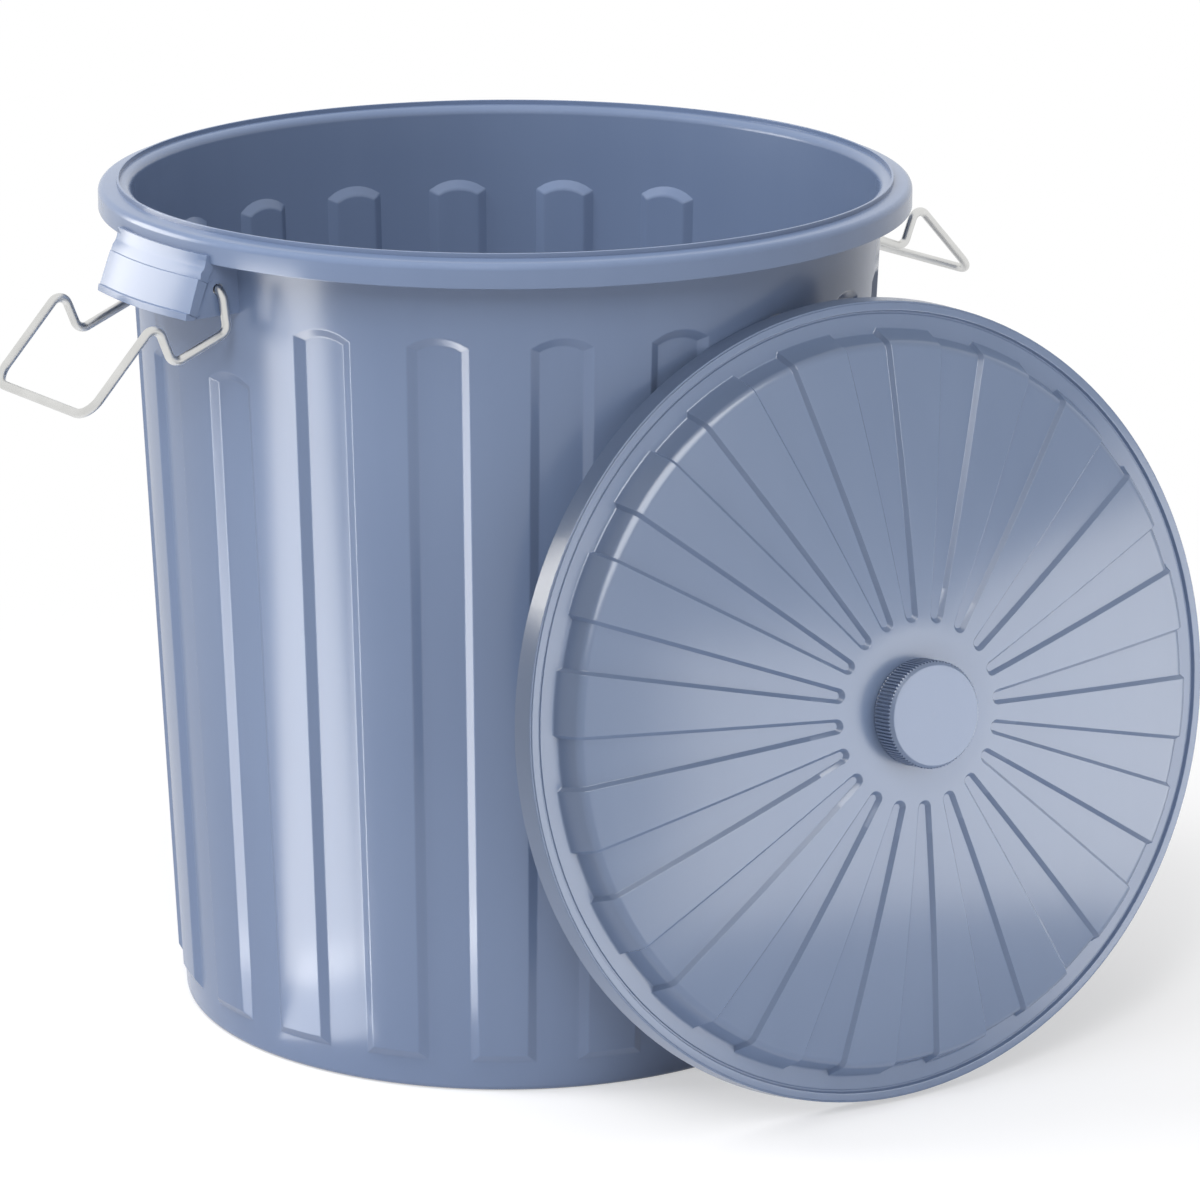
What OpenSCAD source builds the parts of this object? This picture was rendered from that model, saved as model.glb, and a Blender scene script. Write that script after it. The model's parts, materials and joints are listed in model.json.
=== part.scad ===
// Round plastic waste bin: a fluted tapering tub with two wire bail handles on moulded lugs,
// and a lift-off lid with a screw-on knob, shown leaning against the tub.
// Millimetres. The origin is the centre of the tub's base, on the floor. The handles are on X.

/* [Tub] */
// Height of the tub from the floor to the top of the lip
tub_h = 493; // [470:1:540]
// Outside radius of the wall's raised lands, carried down to the floor
base_r = 197.8; // [192:0.1:203]
// Gain in the wall's radius for each millimetre of height
wall_draft = 0.042; // [0.036:0.001:0.048]
// Thickness of the moulded wall
wall_t = 2.4; // [2:0.1:3]
// Thickness of the tub's floor
floor_t = 3; // [2.5:0.1:5]
// Height at which the raised lands start above the foot band
band_h = 25; // [18:1:36]
// Height of the slope under the end of each land
band_slope_h = 5; // [3:0.5:7]
// Radius of the tub's bottom edge
foot_edge_r = 3.5; // [2:0.5:5]

/* [Flutes] */
// Number of upright flutes round the wall
flute_n = 20; // [16:2:22]
// Width of a flute where it opens in the wall
flute_w = 34.8; // [30:0.2:38]
// Width of a flute's flat face
flute_face_w = 24.6; // [20:0.2:27]
// Depth of a flute
flute_depth = 3.5; // [2.5:0.1:4]
// Distance from the top of the lip down to the crown of a flute
flute_drop = 49; // [42:1:60]
// The same distance for the short flutes beside the lugs
short_flute_drop = 83; // [75:1:110]
// Radius of the arched crown of a flute
flute_crown_r = 30; // [26:1:45]

/* [Rim] */
// How far the rim stands out from the wall
rim_out = 16.5; // [14:0.5:18]
// Distance from the top of the lip to the rim's lower edge
rim_drop = 17.4; // [15:0.2:20]
// Thickness of the rim
rim_t = 2.4; // [2:0.1:3]
// Radius of the rim's outer upper edge
rim_edge_r = 4; // [3:0.5:6.5]
// Width of the ledge inside the mouth
ledge_w = 6.7; // [5:0.1:8]
// Depth of that ledge below the top of the lip
ledge_drop = 3.6; // [3:0.2:6]
// Thickness of the raised lip at the mouth
lip_t = 1.4; // [1.2:0.1:2]
// Height of the lip above the seat for the lid
lip_h = 2.7; // [2.5:0.1:5]

/* [Handle lugs] */
// Half the width of a lug, across its outer side faces
lug_half = 44.5; // [38:0.5:48]
// Thickness of a lug's walls
lug_t = 2.4; // [2:0.1:3]
// How far the lug's face stands out from the tub's wall at its top line
lug_top_out = 20; // [18.5:0.1:22]
// How far the lug's face stands out at its lower edge
lug_foot_out = 30; // [26:0.5:32]
// Distance from the lip down to the lug's top line
lug_top_drop = 22.5; // [21:0.5:25]
// Distance from the lip down to the lug's lower edge
lug_drop = 47; // [44:0.5:50]
// Radius of the boss round a hinge hole
boss_r = 6.6; // [5.5:0.1:7]
// How far a boss stands proud of the lug's side
boss_h = 0.8; // [0.4:0.1:1.2]

/* [Wire handles] */
// Diameter of the handle's wire
wire_d = 5.2; // [4:0.1:5.6]
// Radial clearance of the wire in its hinge hole
hinge_clear = 0.1; // [0.05:0.01:0.1]
// How far the hinge line stands out from the tub's wall at the lip
hinge_out = 6.7; // [6:0.1:9]
// Distance from the lip down to the hinge line
hinge_drop = 32; // [30:0.5:34]
// Gap between a lug's boss and the wire beside it
leg_clear = 2.4; // [1:0.1:4]
// How far each hinge pin reaches in past the lug's wall
pin_in = 5; // [3:0.5:10]
// Radius of the bends of the wire, on its centre line
bend_r = 6; // [5:0.5:6.5]
// Radius of the grip's corners, on the centre line
corner_r = 12; // [8:0.5:14]
// How far the stand-off elbow lies inward of the hinge line
elbow_in = 2.9; // [1:0.1:4]
// Drop of the elbow below the hinge line
elbow_drop = 23.3; // [20:0.1:26]
// How far the valley before the clamp peak lies outward of the hinge line
valley_out = 32.4; // [28:0.1:34]
// Drop of the valley below the hinge line
valley_drop = 37.1; // [34:0.1:42]
// How far the clamp peak lies outward of the hinge line
peak_out = 42.6; // [41:0.1:50]
// Drop of the clamp peak below the hinge line
peak_drop = 11.7; // [9:0.1:14]
// Reach of the grip outward from the hinge line
grip_out = 87.2; // [75:0.1:100]
// Drop of the grip below the hinge line
grip_drop = 58.5; // [50:0.1:70]

/* [Lid] */
// Radial clearance between the lid's skirt and the tub's lip
lid_clear = 0.6; // [0.3:0.1:1]
// Thickness of the lid
lid_t = 2; // [1.8:0.1:2.4]
// Height of the skirt
skirt_h = 14; // [12:0.5:17]
// Flare of the skirt at its lower edge
skirt_flare = 1.6; // [0.8:0.1:2.4]
// Width of the bead round the edge
bead_w = 5; // [4:0.5:6]
// Height of the bead above the gutter inside it
bead_h = 1.6; // [0.8:0.1:2]
// Width of the gutter between the bead and the raised plateau
gutter_w = 8.6; // [8:0.2:11]
// Height of the plateau's edge above the gutter
plateau_h = 15.5; // [10:0.5:18]
// Inward slope of the plateau's side
plateau_run = 7.6; // [5:0.2:10]
// Radius of the plateau's rounded shoulder
shoulder_r = 6.5; // [4:0.5:8]
// Rise of the dome from the plateau's edge to the central disc
dome_rise = 25; // [15:0.5:32]
// Radius of the plain central disc
disc_r = 47; // [42:1:55]
// Number of recessed fingers round the lid
finger_n = 20; // [14:2:22]
// Depth of a finger
finger_depth = 2.8; // [2:0.1:4]
// Width of a finger's rounded inner tip
finger_tip_w = 8.6; // [6:0.2:10]
// Width of a finger at the plateau's edge
finger_w = 30; // [24:0.2:32]
// How far the foot of a finger's outer end is set in from the plateau's side
finger_inset = 3; // [2:0.1:4]
// The same at the top of that end
finger_top_inset = 0.8; // [0.4:0.1:2]

/* [Knob] */
// Radius of the knob over its ribs
knob_r = 30; // [27:0.2:33]
// Height of the knob
knob_h = 16.5; // [13:0.5:18]
// Number of ribs round the knob
knob_rib_n = 88; // [60:4:96]
// Depth of the grooves between the ribs
knob_rib_depth = 0.7; // [0.4:0.1:0.9]
// Width of the smooth chamfer round the knob's top
knob_chamfer = 2.6; // [1.5:0.1:3.5]
// Thickness of the knob's shell
knob_t = 2.2; // [1.8:0.1:2.6]
// Clearance of the knob on the lid's hub
knob_clear = 0.4; // [0.3:0.05:0.6]
// Gap between the knob's lower edge and the disc
knob_gap = 0.3; // [0.2:0.05:0.5]

/* [Leaning lid] */
// Backward lean of the lid from upright, in degrees
lid_lean = 8.65; // [6:0.05:14]
// Direction the lid's face is turned to, in degrees from the front
lid_turn = -5.1; // [-20:0.1:20]
// Sideways place of the lid's centre across that direction
lid_side = 88.3; // [40:0.1:110]
// Clearance left where the lid leans on the tub
lean_clear = 0.3; // [0.2:0.05:0.6]

/* [Hidden] */
tub_colour = [0.49, 0.55, 0.65];
lid_colour = [0.52, 0.58, 0.68];
knob_colour = [0.55, 0.60, 0.69];
wire_colour = [0.74, 0.75, 0.76];

// Radii at the mouth, all measured out from the wall
top_r = base_r + wall_draft * tub_h;
rim_r = top_r + rim_out;
lip_in_r = top_r - wall_t + ledge_w;
lip_r = lip_in_r + lip_t;
seat_z = tub_h - lip_h;
rim_low_z = tub_h - rim_drop;
rim_fall = 0.9;
rim_foot_r = 1.2;
rim_under_z = seat_z - rim_fall - rim_t;

// Flutes: the side's slope, and how a wall-thickness offset moves the face's corner
flute_run = (flute_w - flute_face_w) / 2;
flute_side_a = atan2(flute_depth, flute_run);
flute_pitch = 360 / flute_n;
flute_reach = 6;
draft_a = atan(wall_draft);

// Lug and hinge
hinge_r = top_r + hinge_out;
hinge_z = tub_h - hinge_drop;
lug_top_z = tub_h - lug_top_drop;
lug_low_z = tub_h - lug_drop;
lug_top_r = top_r + lug_top_out;
lug_foot_r = top_r + lug_foot_out;
lug_line_drop = 4.2;
lug_line_out = 1.5;
lug_lip_h = 2.4;
lug_lip_out = 0.7;
boss_len = 5;
hole_r = wire_d / 2 + hinge_clear;
wire_fn = 20;
wire_lap = 0.25;
wire_swell = 0.02;
leg_y = lug_half + boss_h + leg_clear + wire_d / 2;

// Lid heights above the skirt's lower edge
skirt_r = lip_r + lid_clear + lid_t;
corner_r_lid = skirt_r - skirt_flare;
gutter_z = skirt_h - bead_h + 0.6;
crease_r = corner_r_lid - bead_w - 1.4;
side_foot_r = crease_r - gutter_w;
plateau_r = side_foot_r - plateau_run;
plateau_z = gutter_z + plateau_h;
disc_z = plateau_z + dome_rise;
dome_bulge = 1.6;
dome_steps = 6;
finger_pitch = 360 / finger_n;
knob_chamfer_h = knob_chamfer * 0.6;
hub_r = knob_r - knob_rib_depth - knob_t - knob_clear;
hub_h = knob_h + knob_gap - knob_t - knob_clear;

// Points of an arc about (cx, cy) from angle a0 to a1
function arc(cx, cy, r, a0, a1, steps) =
    [for (i = [0:steps]) let (a = a0 + (a1 - a0) * i / steps) [cx + r * cos(a), cy + r * sin(a)]];

// Radius of the wall's lands at height z
function land_r(z) = base_r + wall_draft * z;

// Outermost radius of the tub in front at height z, for leaning the lid
function front_r(z) = z > rim_low_z - 1 ? rim_r : land_r(z);

// Solid wall up to the flutes' faces, with the rounded bottom edge, set in by the offset g
module flute_core(g, z0, z1) {
    c = flute_depth + g;
    e = max(foot_edge_r - g, 0.6);
    rotate_extrude($fn = 180)
        polygon(concat(
            [[0, z0]],
            arc(land_r(z0) - c - e, z0 + e, e, -90, 0, 5),
            [[land_r(z1) - c, z1], [0, z1]]));
}

// One flute's cutter: a tapering-sided channel laid along the sloping wall, with an arched crown
module flute_cutter(g, crown_z) {
    half_face = flute_face_w / 2 + g * tan(flute_side_a / 2);
    reach = flute_reach / tan(flute_side_a);
    cr = flute_crown_r + g * tan(flute_side_a / 2);
    len = crown_z - band_h + 30;
    low = -flute_depth - 1;
    lead = 1 / tan(flute_side_a);
    translate([land_r(crown_z + g) - g, 0, crown_z + g * tan(flute_side_a / 2)])
        rotate([0, draft_a, 0])
            intersection() {
                translate([0, 0, -len])
                    linear_extrude(height = len + 1)
                        polygon([
                            [low, -half_face + lead], [low, half_face - lead],
                            [flute_reach, half_face + flute_run + reach],
                            [flute_reach, -half_face - flute_run - reach]]);
                union() {
                    translate([0, 0, -cr])
                        rotate([0, 90, 0])
                            rotate_extrude($fn = 96)
                                polygon([
                                    [0, low],
                                    [cr - flute_run - lead, low],
                                    [cr + reach, flute_reach],
                                    [0, flute_reach]]);
                    translate([low - 1, -60, -len - 1])
                        cube([flute_reach - low + 2, 120, len - cr + 1]);
                }
            }
}

// Ring of raised lands between the flutes, set in by the offset g
module lands(g, z1) {
    foot_z = band_h - g * 0.5;
    low_z = foot_z - band_slope_h;
    difference() {
        rotate_extrude($fn = 180)
            polygon([
                [land_r(low_z) - flute_depth - g - 8, low_z],
                [land_r(low_z) - flute_depth - g - 0.4, low_z],
                [land_r(foot_z) - g, foot_z],
                [land_r(z1) - g, z1],
                [land_r(z1) - flute_depth - g - 8, z1]]);
        for (i = [0:flute_n - 1]) {
            a = (i + 0.5) * flute_pitch;
            beside_lug = abs(sin(a)) < sin(flute_pitch * 0.6);
            rotate([0, 0, a])
                flute_cutter(g, tub_h - (beside_lug ? short_flute_drop : flute_drop));
        }
    }
}

// The tub's wall as a solid, set in by the offset g
module fluted_body(g, z0, z1) {
    flute_core(g, z0, z1);
    lands(g, z1);
}

// Underside of the rim, from the wall out to the inner face of its side
function rim_under() = [
    [land_r(rim_under_z - 3) - 0.6, rim_under_z - 3],
    [top_r + 1, rim_under_z - 0.8],
    [top_r + 3, rim_under_z],
    [rim_r - rim_t - 3, rim_under_z],
    [rim_r - rim_t - 0.8, rim_under_z - 1.2],
    [rim_r - rim_t, rim_under_z - 3.6]];

// Turned-down rim with the raised lip that the lid drops over
module rim() {
    rotate_extrude($fn = 180)
        polygon(concat(
            [[lip_in_r - ledge_w - 6, rim_under_z - 3],
             [lip_in_r - ledge_w - 6, tub_h],
             [lip_r - 0.5, tub_h],
             [lip_r - 0.1, tub_h - 0.5],
             [lip_r, seat_z]],
            arc(rim_r - rim_edge_r, seat_z - rim_fall - rim_edge_r, rim_edge_r, 80, 0, 6),
            arc(rim_r - rim_foot_r, rim_low_z + rim_foot_r, rim_foot_r, 0, -70, 3),
            [[rim_r - rim_t, rim_low_z]],
            [for (i = [len(rim_under()) - 1:-1:0]) rim_under()[i]]));
}

// Outer face of a lug in section, from its lower edge up into the rim
function lug_face() = [
    [lug_foot_r, lug_low_z],
    [lug_foot_r - lug_lip_out, lug_low_z + lug_lip_h],
    [lug_top_r + lug_line_out, lug_top_z - lug_line_drop],
    [lug_top_r, lug_top_z],
    [lug_top_r - 0.2, lug_top_z + 4],
    [lug_top_r - 0.9, lug_top_z + 7],
    [lug_top_r - 2.2, lug_top_z + 9.5],
    [rim_r - 0.3, lug_top_z + 12]];

// Wedge of the section, cut off flat at the lug's half width
module lug_sweep(half, points) {
    span = 2 * asin(lug_half / lug_top_r) + 6;
    intersection() {
        rotate([0, 0, -span / 2])
            rotate_extrude(angle = span, $fn = 180)
                polygon(points);
        translate([0, -half, 0])
            cube([lug_foot_r + 5, 2 * half, tub_h]);
    }
}

// Solid block of one lug on +X, from inside the wall to its face
module lug_block() {
    back_r = land_r(lug_low_z) - wall_t;
    lug_sweep(lug_half, concat(
        [[back_r, lug_low_z]],
        lug_face(),
        [[rim_r - rim_edge_r, rim_under_z + 1], [back_r, rim_under_z + 1]]));
    for (s = [-1, 1])
        translate([hinge_r, s * (lug_half - 0.5), hinge_z])
            rotate([s > 0 ? -90 : 90, 0, 0])
                hinge_boss();
}

// Long boss round a hinge hole
module hinge_boss() {
    half = boss_len / 2;
    for (s = [-1, 1])
        translate([s * half, 0, 0])
            cylinder(r = boss_r, h = boss_h + 0.5, $fn = 48);
    translate([-half, -boss_r, 0])
        cube([boss_len, 2 * boss_r, boss_h + 0.5]);
}

// Hollow behind a lug's face, open below and up into the rim
module lug_pocket() {
    low = lug_low_z - 2;
    wall_low = land_r(low) - 0.1;
    lug_sweep(lug_half - lug_t, concat(
        [[wall_low, low],
         [lug_foot_r - lug_t, low],
         [lug_foot_r - lug_t, lug_low_z],
         [lug_top_r + lug_line_out - lug_t, lug_top_z - lug_line_drop],
         [lug_top_r - lug_t, lug_top_z - 1],
         [rim_r - rim_t, lug_top_z + 5]],
        [for (i = [len(rim_under()) - 1:-1:1]) rim_under()[i]],
        [[land_r(rim_under_z - 3) - 0.1, rim_under_z - 3]]));
}

module tub() {
    color(tub_colour)
        difference() {
            union() {
                fluted_body(0, 0, rim_under_z);
                rim();
                for (a = [0, 180])
                    rotate([0, 0, a])
                        difference() {
                            lug_block();
                            lug_pocket();
                        }
            }
            fluted_body(wall_t, floor_t, seat_z);
            // Mouth inside the lip, down to the ledge
            translate([0, 0, tub_h - ledge_drop])
                cylinder(r1 = lip_in_r - 0.5, r2 = lip_in_r, h = ledge_drop + 0.01, $fn = 180);
            // Hinge holes
            for (sx = [-1, 1])
                translate([sx * hinge_r, 0, hinge_z])
                    rotate([90, 0, 0])
                        cylinder(r = hole_r, h = 2 * (lug_half + boss_h + 2), center = true, $fn = 48);
        }
}

// Rotation that carries X to e, Y to u and Z to their product, placed at c
module place(c, e, u) {
    w = cross(e, u);
    multmatrix([
        [e[0], u[0], w[0], c[0]],
        [e[1], u[1], w[1], c[1]],
        [e[2], u[2], w[2], c[2]],
        [0, 0, 0, 1]])
        children();
}

function unit(v) = v / norm(v);

// Direction of stretch i of the path, and the normal of the plane of its nearest bend
function along(p, i) = unit(p[i + 1] - p[i]);
function bend_normal(p, i) =
    unit(i < len(p) - 2 ? cross(along(p, i), along(p, i + 1)) : cross(along(p, i - 1), along(p, i)));

// Turn of the path at point i, and the length its bend takes off each side
function turn(p, i) = acos(along(p, i - 1) * along(p, i));
function trim(p, r, i) = i == 0 || i == len(p) - 1 ? 0 : r[i] * tan(turn(p, i) / 2);

// Round wire of diameter d through the points p, with bend radius r at each point
module wire(p, r, d) {
    for (i = [0:len(p) - 2]) {
        u = along(p, i);
        a = trim(p, r, i);
        l = norm(p[i + 1] - p[i]) - a - trim(p, r, i + 1);
        e = bend_normal(p, i);
        // Each stretch runs a little way into the bends beside it
        before = i == 0 ? 0 : wire_lap;
        after = i == len(p) - 2 ? 0 : wire_lap;
        place(p[i] + u * (a - before), e, cross(u, e))
            cylinder(d = d, h = l + before + after, $fn = wire_fn);
    }
    for (i = [1:len(p) - 2]) {
        u = along(p, i - 1);
        v = along(p, i);
        c = p[i] + unit(v - u) * r[i] / cos(turn(p, i) / 2);
        e = unit(p[i] - u * trim(p, r, i) - c);
        place(c, e, u)
            rotate_extrude(angle = turn(p, i), $fn = 2 * wire_fn)
                translate([r[i], 0])
                    circle(d = d + wire_swell, $fn = wire_fn);
    }
}

// One handle on +X: pins, stand-off kink, clamp peak and grip
module handle() {
    leg = [
        [0, 0],
        [-elbow_in, -elbow_drop],
        [valley_out, -valley_drop],
        [peak_out, -peak_drop],
        [grip_out, -grip_drop]];
    pin_y = lug_half - lug_t - pin_in;
    side = [for (q = leg) [hinge_r + q[0], -leg_y, hinge_z + q[1]]];
    points = concat(
        [[hinge_r, -pin_y, hinge_z]],
        side,
        [for (i = [len(side) - 1:-1:0]) [side[i][0], leg_y, side[i][2]]],
        [[hinge_r, pin_y, hinge_z]]);
    bends = [0, 5, bend_r, bend_r, bend_r, corner_r, corner_r, bend_r, bend_r, bend_r, 5, 0];
    color(wire_colour)
        wire(points, bends, wire_d);
}

module handle_left() {
    rotate([0, 0, 180])
        handle();
}

module handle_right() {
    handle();
}

// Arc of radius r that rounds the corner c of the line from a through c to b
function rounded(a, c, b, r, steps) =
    let (u = unit(a - c), v = unit(b - c), half = acos(u * v) / 2,
         m = c + unit(u + v) * r / sin(half),
         first = c + u * r / tan(half) - m,
         last = c + v * r / tan(half) - m,
         a0 = atan2(first[1], first[0]),
         swing = (atan2(last[1], last[0]) - a0 + 540) % 360 - 180)
    [for (i = [0:steps]) m + r * [cos(a0 + swing * i / steps), sin(a0 + swing * i / steps)]];

// Dome above the plateau's edge of radius r0, up to the disc, lowered by d
function dome(r0, d) = [
    for (i = [1:dome_steps])
        let (t = i / dome_steps)
            [r0 + (disc_r - r0) * t, plateau_z + dome_rise * t + dome_bulge * sin(180 * t) - d]];

// Plateau in section: its side from the foot up, its shoulder and its dome
function plateau(foot, edge, d, g) =
    let (top = dome(edge - 1, d))
    concat([foot], rounded(foot, [edge, plateau_z - d], top[0], shoulder_r - g, 4), top);

// Lid as a solid without its raised pads, set in by the offset g
module lid_core(g) {
    foot = [side_foot_r - finger_inset - g, gutter_z - g];
    rotate_extrude($fn = 180)
        polygon(concat(
            [[0, -g],
             [skirt_r - g, -g],
             [corner_r_lid - g + 0.1, skirt_h - 1 - g],
             [corner_r_lid - g - 0.3, skirt_h + 0.2 - g],
             [corner_r_lid - g - 1.2, skirt_h + 0.6 - g],
             [corner_r_lid - g - bead_w + 0.8, skirt_h + 0.6 - g],
             [corner_r_lid - g - bead_w, skirt_h + 0.2 - g],
             [crease_r - g, gutter_z - g]],
            plateau(foot, plateau_r - finger_top_inset - g, finger_depth + g, g),
            [[0, disc_z - finger_depth - g]]));
}

// Outline of one finger from above, grown by g, from its rounded tip outward
function finger_outline(g) =
    let (tip = finger_tip_w / 2, tip_x = disc_r + 3 + tip, out_x = side_foot_r + 20,
         grow = (finger_w / 2 - tip) / (plateau_r - tip_x), a = atan(grow),
         rr = tip + g)
    concat(
        arc(tip_x, 0, rr, 90 + a, 270 - a, 8),
        [[out_x, -rr / cos(a) - grow * (out_x - tip_x)],
         [out_x, rr / cos(a) + grow * (out_x - tip_x)]]);

// Raised disc and pads, parted by the fingers, set in by the offset g
module lid_pads(g) {
    difference() {
        rotate_extrude($fn = 180)
            polygon(concat(
                [[0, 1], [side_foot_r - g, 1]],
                plateau([side_foot_r - g, gutter_z - g], plateau_r - g, g, g),
                [[0, disc_z - g]]));
        for (i = [0:finger_n - 1])
            rotate([0, 0, i * finger_pitch])
                linear_extrude(height = disc_z + 10)
                    polygon(finger_outline(g));
    }
}

module lid_body(g) {
    lid_core(g);
    lid_pads(g);
}

// Lid in its own frame, skirt down, with the hub that carries the knob
module lid_flat() {
    difference() {
        union() {
            lid_body(0);
            translate([0, 0, disc_z - lid_t / 2])
                cylinder(r = hub_r, h = hub_h + lid_t / 2, $fn = 96);
        }
        lid_body(lid_t);
        translate([0, 0, disc_z - lid_t - 1])
            cylinder(r = hub_r - lid_t, h = hub_h + 1, $fn = 96);
    }
}

// Knob in the lid's frame: a ribbed cap with a smooth chamfered top, hollow below
module knob_flat() {
    low = disc_z + knob_gap;
    translate([0, 0, low])
        difference() {
            union() {
                linear_extrude(height = knob_h - knob_chamfer_h)
                    polygon([
                        for (i = [0:knob_rib_n * 4 - 1])
                            let (a = i * 90 / knob_rib_n, r = knob_r - (i % 4 < 2 ? 0 : knob_rib_depth))
                                [r * cos(a), r * sin(a)]]);
                translate([0, 0, knob_h - knob_chamfer_h])
                    cylinder(r1 = knob_r - 0.1, r2 = knob_r - knob_chamfer, h = knob_chamfer_h, $fn = 96);
            }
            translate([0, 0, -1])
                cylinder(r = hub_r + knob_clear, h = knob_h - knob_t + 1, $fn = 96);
        }
}

// Seat of the leaning lid: its lower edge on the floor and its skirt against the tub's front
lean_n = [sin(lid_turn) * cos(lid_lean), -cos(lid_turn) * cos(lid_lean), sin(lid_lean)];
lean_e = [cos(lid_turn), sin(lid_turn), 0];
lean_up = cross(lean_n, lean_e);
lean_d = [sin(lid_turn), -cos(lid_turn)];
lid_z = skirt_r * cos(lid_lean);

// Distance along the turn direction that brings the skirt's point at angle a clear of the tub
function lean_need(a) =
    let (q = skirt_r * (cos(a) * lean_e + sin(a) * lean_up),
         b = [lid_side * lean_e[0] + q[0], lid_side * lean_e[1] + q[1]],
         rr = front_r(lid_z + q[2]) + lean_clear,
         k = b * lean_d,
         disc = k * k - b * b + rr * rr)
    disc > 0 ? -k + sqrt(disc) : 0;

lid_out = max([for (a = [0:0.5:359.5]) lean_need(a)]);

// Carries the lid's frame to its leaning place
module leaned() {
    translate([
        lid_side * lean_e[0] + lid_out * lean_d[0],
        lid_side * lean_e[1] + lid_out * lean_d[1],
        lid_z])
        rotate([0, 0, lid_turn])
            rotate([90 - lid_lean, 0, 0])
                children();
}

module lid() {
    color(lid_colour)
        leaned()
            lid_flat();
}

module knob() {
    color(knob_colour)
        leaned()
            knob_flat();
}

tub();
lid();
knob();
handle_left();
handle_right();
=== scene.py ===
# %% [markdown]
# A round plastic waste bin, dressed for the camera. The construction comes packed from the CAD
# source: a fluted tub, a lid that leans against it, a screw-on knob and two wire handles. Here
# the moulded pieces are modelled again as soft-edged shells, every surface gets its finish, and
# a plain studio is set up round them.
#
# The main idea of the lesson is to model round things flat. A strip of the wall is easy to shape
# while it is straight: press in a flute, arch its top, bevel its edges. Then it is repeated, and
# one bend turns the strip into a ring.

# %% Load the frame
import json
import math

import bmesh
import bpy
from mathutils import Matrix, Vector


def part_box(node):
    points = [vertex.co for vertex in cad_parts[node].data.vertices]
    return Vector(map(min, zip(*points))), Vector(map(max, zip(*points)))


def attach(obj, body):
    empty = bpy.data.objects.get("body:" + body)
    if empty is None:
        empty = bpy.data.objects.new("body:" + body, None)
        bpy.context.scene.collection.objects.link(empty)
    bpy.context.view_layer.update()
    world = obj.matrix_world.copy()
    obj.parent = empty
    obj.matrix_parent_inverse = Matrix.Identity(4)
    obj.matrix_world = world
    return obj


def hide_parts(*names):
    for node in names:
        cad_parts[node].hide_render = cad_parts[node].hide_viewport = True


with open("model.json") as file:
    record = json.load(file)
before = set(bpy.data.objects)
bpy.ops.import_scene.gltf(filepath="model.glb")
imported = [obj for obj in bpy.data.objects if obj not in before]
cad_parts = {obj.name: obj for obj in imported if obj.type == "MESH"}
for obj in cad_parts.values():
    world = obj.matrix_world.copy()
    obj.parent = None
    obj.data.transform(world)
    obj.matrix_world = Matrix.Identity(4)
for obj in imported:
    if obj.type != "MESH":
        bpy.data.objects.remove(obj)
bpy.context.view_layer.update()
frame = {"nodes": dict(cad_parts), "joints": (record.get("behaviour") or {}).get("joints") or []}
MM = 0.001
joints = {joint["name"]: joint for joint in frame["joints"]}
print("nodes in the frame:", sorted(frame["nodes"]))

# %% [markdown]
# A few small helpers stand in for the hand and the eye. One makes a piece the active one in edit
# mode, one selects what passes a test of place or direction, and one applies a modifier.

# %% Helpers for working in edit mode


def clear():
    """Leaves edit mode, with nothing selected."""
    if bpy.context.mode != "OBJECT":
        bpy.ops.object.mode_set(mode="OBJECT")
    bpy.ops.object.select_all(action="DESELECT")


def only(piece):
    """Leaves edit mode, with this piece as the one selected and active object."""
    clear()
    piece.select_set(True)
    bpy.context.view_layer.objects.active = piece


def edit(piece):
    """Opens this piece alone in edit mode, with nothing selected."""
    only(piece)
    bpy.ops.object.mode_set(mode="EDIT")
    bpy.ops.mesh.select_all(action="DESELECT")


def pick(kind, test):
    """Selects the verts, edges or faces of the open piece that pass the test, and counts them."""
    modes = {"verts": "VERT", "edges": "EDGE", "faces": "FACE"}
    bpy.ops.mesh.select_mode(type=modes[kind])
    bpy.ops.mesh.select_all(action="DESELECT")
    data = bpy.context.edit_object.data
    mesh = bmesh.from_edit_mesh(data)
    mesh.verts.ensure_lookup_table()
    mesh.verts.index_update()
    mesh.normal_update()
    found = [part for part in getattr(mesh, kind) if test(part)]
    for part in found:
        part.select_set(True)
    mesh.select_flush_mode()
    bmesh.update_edit_mesh(data)
    return len(found)


def slide(x=0.0, y=0.0, z=0.0):
    """Moves what is selected."""
    bpy.ops.transform.translate(value=(x, y, z))


def stretch(x=1.0, y=1.0, z=1.0, centre=(0, 0, 0)):
    """Scales what is selected about a point."""
    bpy.ops.transform.resize(value=(x, y, z), center_override=centre)


def finish_with(piece, kind, **settings):
    """Adds a modifier to the piece with these settings, and applies it."""
    only(piece)
    bpy.ops.object.modifier_add(type=kind)
    modifier = piece.modifiers[-1]
    for name, value in settings.items():
        setattr(modifier, name, value)
    bpy.ops.object.modifier_apply(modifier=modifier.name)


def middle(edge):
    """Middle point of an edge."""
    return (edge.verts[0].co + edge.verts[1].co) / 2


def radius_of(point):
    """Distance of a point from the upright axis."""
    return math.hypot(point.x, point.y)


# %% [markdown]
# The camera is set early, because everything is judged through it. The photograph was taken from
# a long way off with a long lens: the upright walls hardly converge. Its place was worked out
# from the ellipses of the rim and the base: so far from the bin's axis, so high, looking a
# little down.

# %% Camera
CAMERA_AZIMUTH = math.radians(-35.1)
CAMERA_DISTANCE = 2.8458
CAMERA_HEIGHT = 1.0647
CAMERA_PITCH = 0.2839
CAMERA_YAW = 0.0193
CAMERA_ROLL = 0.0015
LENS = 150.0
SENSOR = 36.0


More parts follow.
